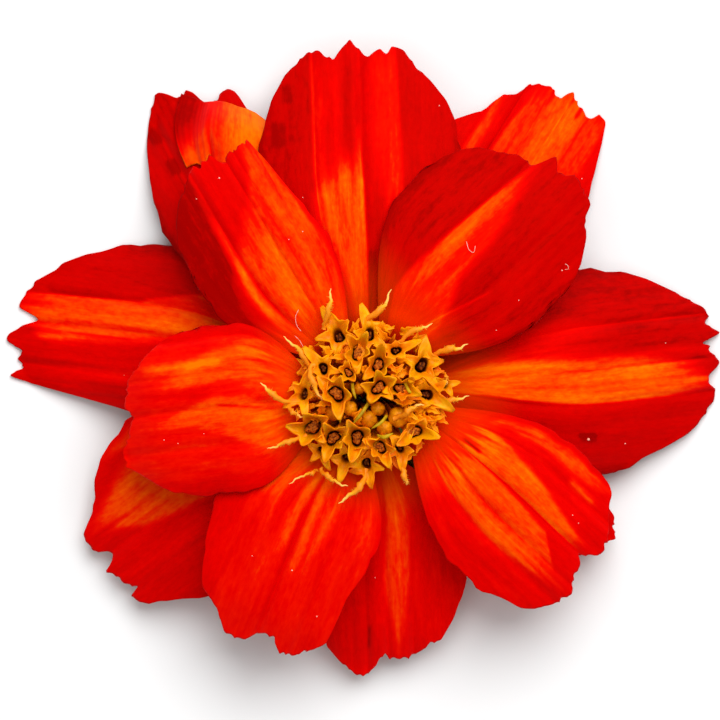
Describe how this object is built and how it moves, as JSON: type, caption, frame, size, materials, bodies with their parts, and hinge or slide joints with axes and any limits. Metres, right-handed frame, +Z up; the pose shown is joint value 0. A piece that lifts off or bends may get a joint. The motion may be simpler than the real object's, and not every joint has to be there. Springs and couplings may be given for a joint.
{
  "type": "cosmos flower",
  "caption": "Semi-double cosmos flower head, picked with a short stub of stalk and lying face up on its drooping toothed petals.",
  "frame": {"origin": "centre of the bounding box in plan, at the surface the flower rests on", "axes": "+Z up along the flower's own axis, towards the viewer of its face; +Y towards the longest petal of the inner ring; +X across the widest extent"},
  "size_m": [0.06, 0.0536, 0.0131],
  "materials": {
    "petal": "soft satin petal skin, red with orange streaks",
    "disc_floret": "waxy orange-yellow floret tubes",
    "bract_membrane": "thin yellowish green membrane",
    "bract_green": "matt green leafy bract",
    "stalk": "ribbed green stalk"
  },
  "bodies": {
    "root": {"disc_floret_01": "disc_floret", "disc_floret_02": "disc_floret", "disc_floret_03": "disc_floret", "disc_floret_04": "disc_floret", "disc_floret_05": "disc_floret", "disc_floret_06": "disc_floret", "disc_floret_07": "disc_floret", "disc_floret_08": "disc_floret", "disc_floret_09": "disc_floret", "disc_floret_10": "disc_floret", "disc_floret_11": "disc_floret", "disc_floret_12": "disc_floret", "disc_floret_13": "disc_floret", "disc_floret_14": "disc_floret", "disc_floret_15": "disc_floret", "disc_floret_16": "disc_floret", "disc_floret_17": "disc_floret", "disc_floret_18": "disc_floret", "disc_floret_19": "disc_floret", "disc_floret_20": "disc_floret", "disc_floret_21": "disc_floret", "disc_floret_22": "disc_floret", "disc_floret_23": "disc_floret", "disc_floret_24": "disc_floret", "disc_floret_25": "disc_floret", "disc_floret_26": "disc_floret", "disc_floret_27": "disc_floret", "disc_floret_28": "disc_floret", "disc_floret_29": "disc_floret", "disc_floret_30": "disc_floret", "inner_bract_1": "bract_membrane", "inner_bract_2": "bract_membrane", "inner_bract_3": "bract_membrane", "inner_bract_4": "bract_membrane", "inner_bract_5": "bract_membrane", "inner_bract_6": "bract_membrane", "inner_bract_7": "bract_membrane", "inner_bract_8": "bract_membrane", "outer_bract_1": "bract_green", "outer_bract_2": "bract_green", "outer_bract_3": "bract_green", "outer_bract_4": "bract_green", "outer_bract_5": "bract_green", "outer_bract_6": "bract_green", "outer_bract_7": "bract_green", "outer_bract_8": "bract_green", "petal_01_top": "petal", "petal_02_upper_right": "petal", "petal_03_upper_left": "petal", "petal_04_left": "petal", "petal_05_lower_left": "petal", "petal_06_lower_right": "petal", "petal_07_right": "petal", "petal_08_upper_right": "petal", "petal_09_upper_left": "petal", "petal_10_left": "petal", "petal_11_lower_left": "petal", "petal_12_bottom": "petal", "petal_13_lower_right_behind": "petal", "stalk_with_receptacle": "stalk"}
  },
  "joints": []
}
